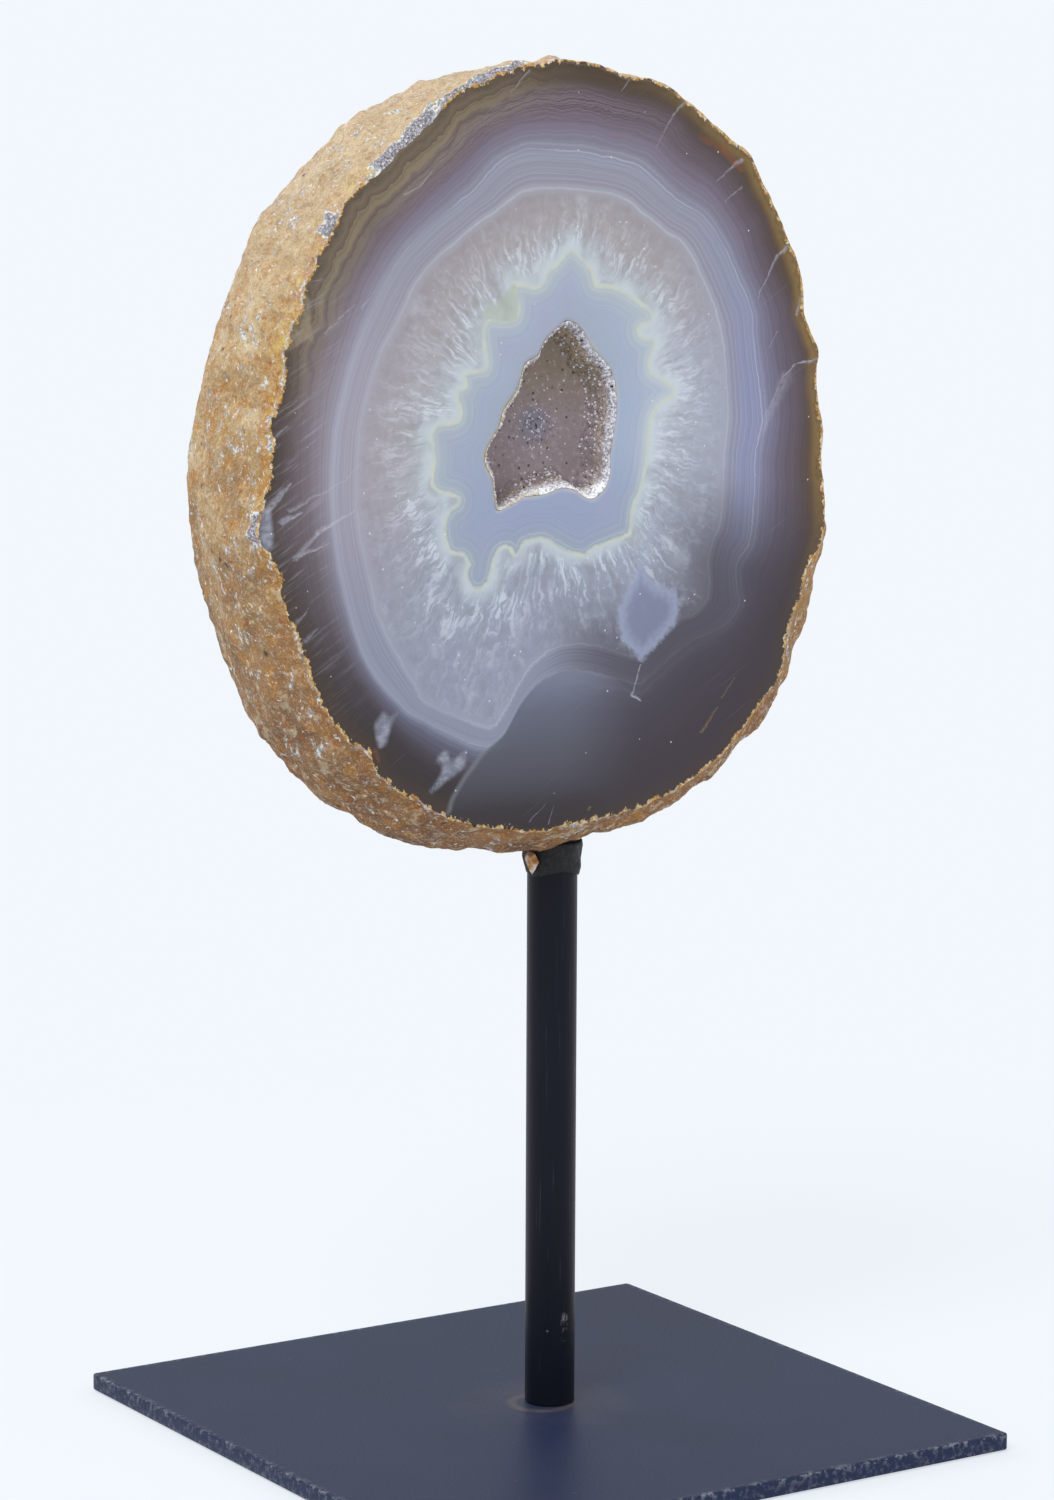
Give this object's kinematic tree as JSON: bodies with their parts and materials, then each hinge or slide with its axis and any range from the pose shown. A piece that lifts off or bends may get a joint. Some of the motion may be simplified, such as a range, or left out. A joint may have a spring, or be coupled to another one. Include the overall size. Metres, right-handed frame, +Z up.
{
  "type": "polished agate geode on a stand",
  "caption": "Polished banded agate slab with a crystal-lined hollow and rough rind, upright on a black steel rod and square steel base plate.",
  "frame": {"origin": "middle of the underside of the base plate, which is what the part stands on", "axes": "+Z is up, along the rod and the part's longest side; the polished face looks along -Y; +X is to the right for someone who faces the polished side"},
  "size_m": [0.1342, 0.127, 0.2577],
  "materials": {
    "plate_paint": "dark blue-grey satin paint, scuffed at the edges",
    "rod_paint": "black satin paint, lightly worn",
    "adhesive": "rough black adhesive",
    "rind": "rough ochre rind",
    "agate": "polished banded grey agate with an ochre rind",
    "druse": "fine sparkling quartz crystals"
  },
  "bodies": {
    "root": {"base_plate": "plate_paint", "rod": "rod_paint", "adhesive_collar": "adhesive", "stone_flake": "rind", "geode": "agate", "crystal_crust": "druse"}
  },
  "joints": []
}
